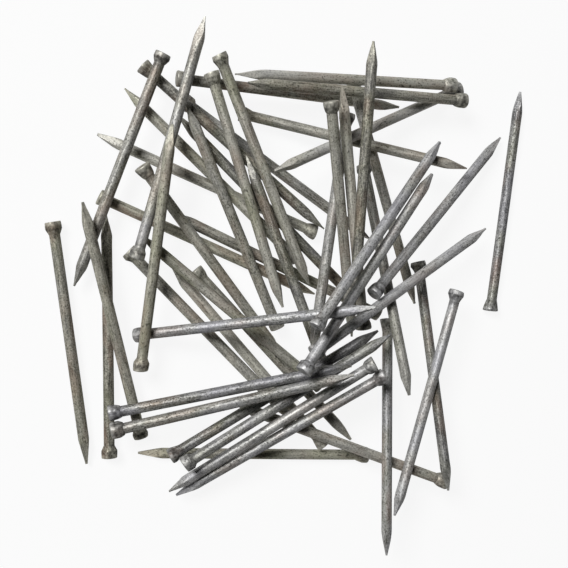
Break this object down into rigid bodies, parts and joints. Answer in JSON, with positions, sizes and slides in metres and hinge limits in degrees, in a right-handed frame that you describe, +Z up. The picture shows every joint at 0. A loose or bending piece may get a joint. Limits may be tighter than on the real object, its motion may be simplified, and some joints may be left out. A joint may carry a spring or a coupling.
{
  "type": "lost-head nails",
  "caption": "Loose heap of bare steel lost-head wire nails: small flared heads, straight round shanks and four-sided points, tipped out on a flat surface.",
  "frame": {"origin": "middle of the heap's footprint, on the surface that it lies on", "axes": "+Z up from that surface; +Y away from the viewer, up in the picture, along the heap's longer side; +X to the right"},
  "size_m": [0.1048, 0.1106, 0.0249],
  "materials": {
    "steel_dull": "dull drawn wire, faint lengthwise lines",
    "steel_olive": "dull drawn wire with an olive cast",
    "steel_bright": "cleaner drawn wire with a cool sheen",
    "steel_brown": "dull drawn wire with brown stain"
  },
  "bodies": {
    "heap": {"nail_level_1": "steel_olive", "nail_left_1": "steel_brown", "nail_slant_1": "steel_dull", "nail_middle_1": "steel_brown", "nail_middle_2": "steel_olive", "nail_slant_2": "steel_olive", "nail_slant_3": "steel_dull", "nail_slant_4": "steel_dull", "nail_slant_5": "steel_dull", "nail_middle_3": "steel_dull", "nail_top_1": "steel_brown", "nail_upright_1": "steel_dull", "nail_low_1": "steel_dull", "nail_low_2": "steel_dull", "nail_low_3": "steel_dull", "nail_low_4": "steel_olive", "nail_corner_1": "steel_dull", "nail_corner_2": "steel_dull", "nail_corner_4": "steel_dull", "nail_upright_2": "steel_brown", "nail_steep_1": "steel_dull", "nail_left_2": "steel_dull", "nail_left_3": "steel_olive", "nail_left_4": "steel_bright", "nail_top_2": "steel_olive", "nail_steep_2": "steel_dull", "nail_steep_3": "steel_olive", "nail_steep_4": "steel_olive", "nail_top_3": "steel_dull", "nail_top_4": "steel_dull", "nail_top_5": "steel_dull", "nail_upright_3": "steel_dull", "nail_upright_4": "steel_dull", "nail_upright_5": "steel_dull", "nail_upright_6": "steel_dull", "nail_rising_1": "steel_bright", "nail_rising_3": "steel_dull", "nail_rising_4": "steel_dull", "nail_level_2": "steel_bright", "nail_fan_1": "steel_bright", "nail_fan_3": "steel_dull", "nail_level_4": "steel_bright"},
    "loose_left_alone": {"nail_left_alone": "steel_dull"},
    "loose_right_alone": {"nail_right_alone": "steel_dull"},
    "loose_corner_3": {"nail_corner_3": "steel_bright"},
    "loose_rising_2": {"nail_rising_2": "steel_bright"},
    "loose_level_3": {"nail_level_3": "steel_bright"},
    "loose_fan_2": {"nail_fan_2": "steel_bright"},
    "loose_fan_4": {"nail_fan_4": "steel_bright"},
    "loose_left_5": {"nail_left_5": "steel_olive"}
  },
  "joints": [
    {"name": "lift_left_alone", "type": "slide", "parent": "heap", "child": "loose_left_alone", "axis": [0, 0, 1], "range_m": [0, 0.04]},
    {"name": "lift_right_alone", "type": "slide", "parent": "heap", "child": "loose_right_alone", "axis": [0, 0, 1], "range_m": [0, 0.04]},
    {"name": "lift_corner_3", "type": "slide", "parent": "heap", "child": "loose_corner_3", "axis": [0, 0, 1], "range_m": [0, 0.04]},
    {"name": "lift_rising_2", "type": "slide", "parent": "heap", "child": "loose_rising_2", "axis": [0, 0, 1], "range_m": [0, 0.04]},
    {"name": "lift_level_3", "type": "slide", "parent": "heap", "child": "loose_level_3", "axis": [0, 0, 1], "range_m": [0, 0.04]},
    {"name": "lift_fan_2", "type": "slide", "parent": "heap", "child": "loose_fan_2", "axis": [0, 0, 1], "range_m": [0, 0.04]},
    {"name": "lift_fan_4", "type": "slide", "parent": "heap", "child": "loose_fan_4", "axis": [0, 0, 1], "range_m": [0, 0.04]},
    {"name": "lift_left_5", "type": "slide", "parent": "heap", "child": "loose_left_5", "axis": [0, 0, 1], "range_m": [0, 0.04]}
  ]
}
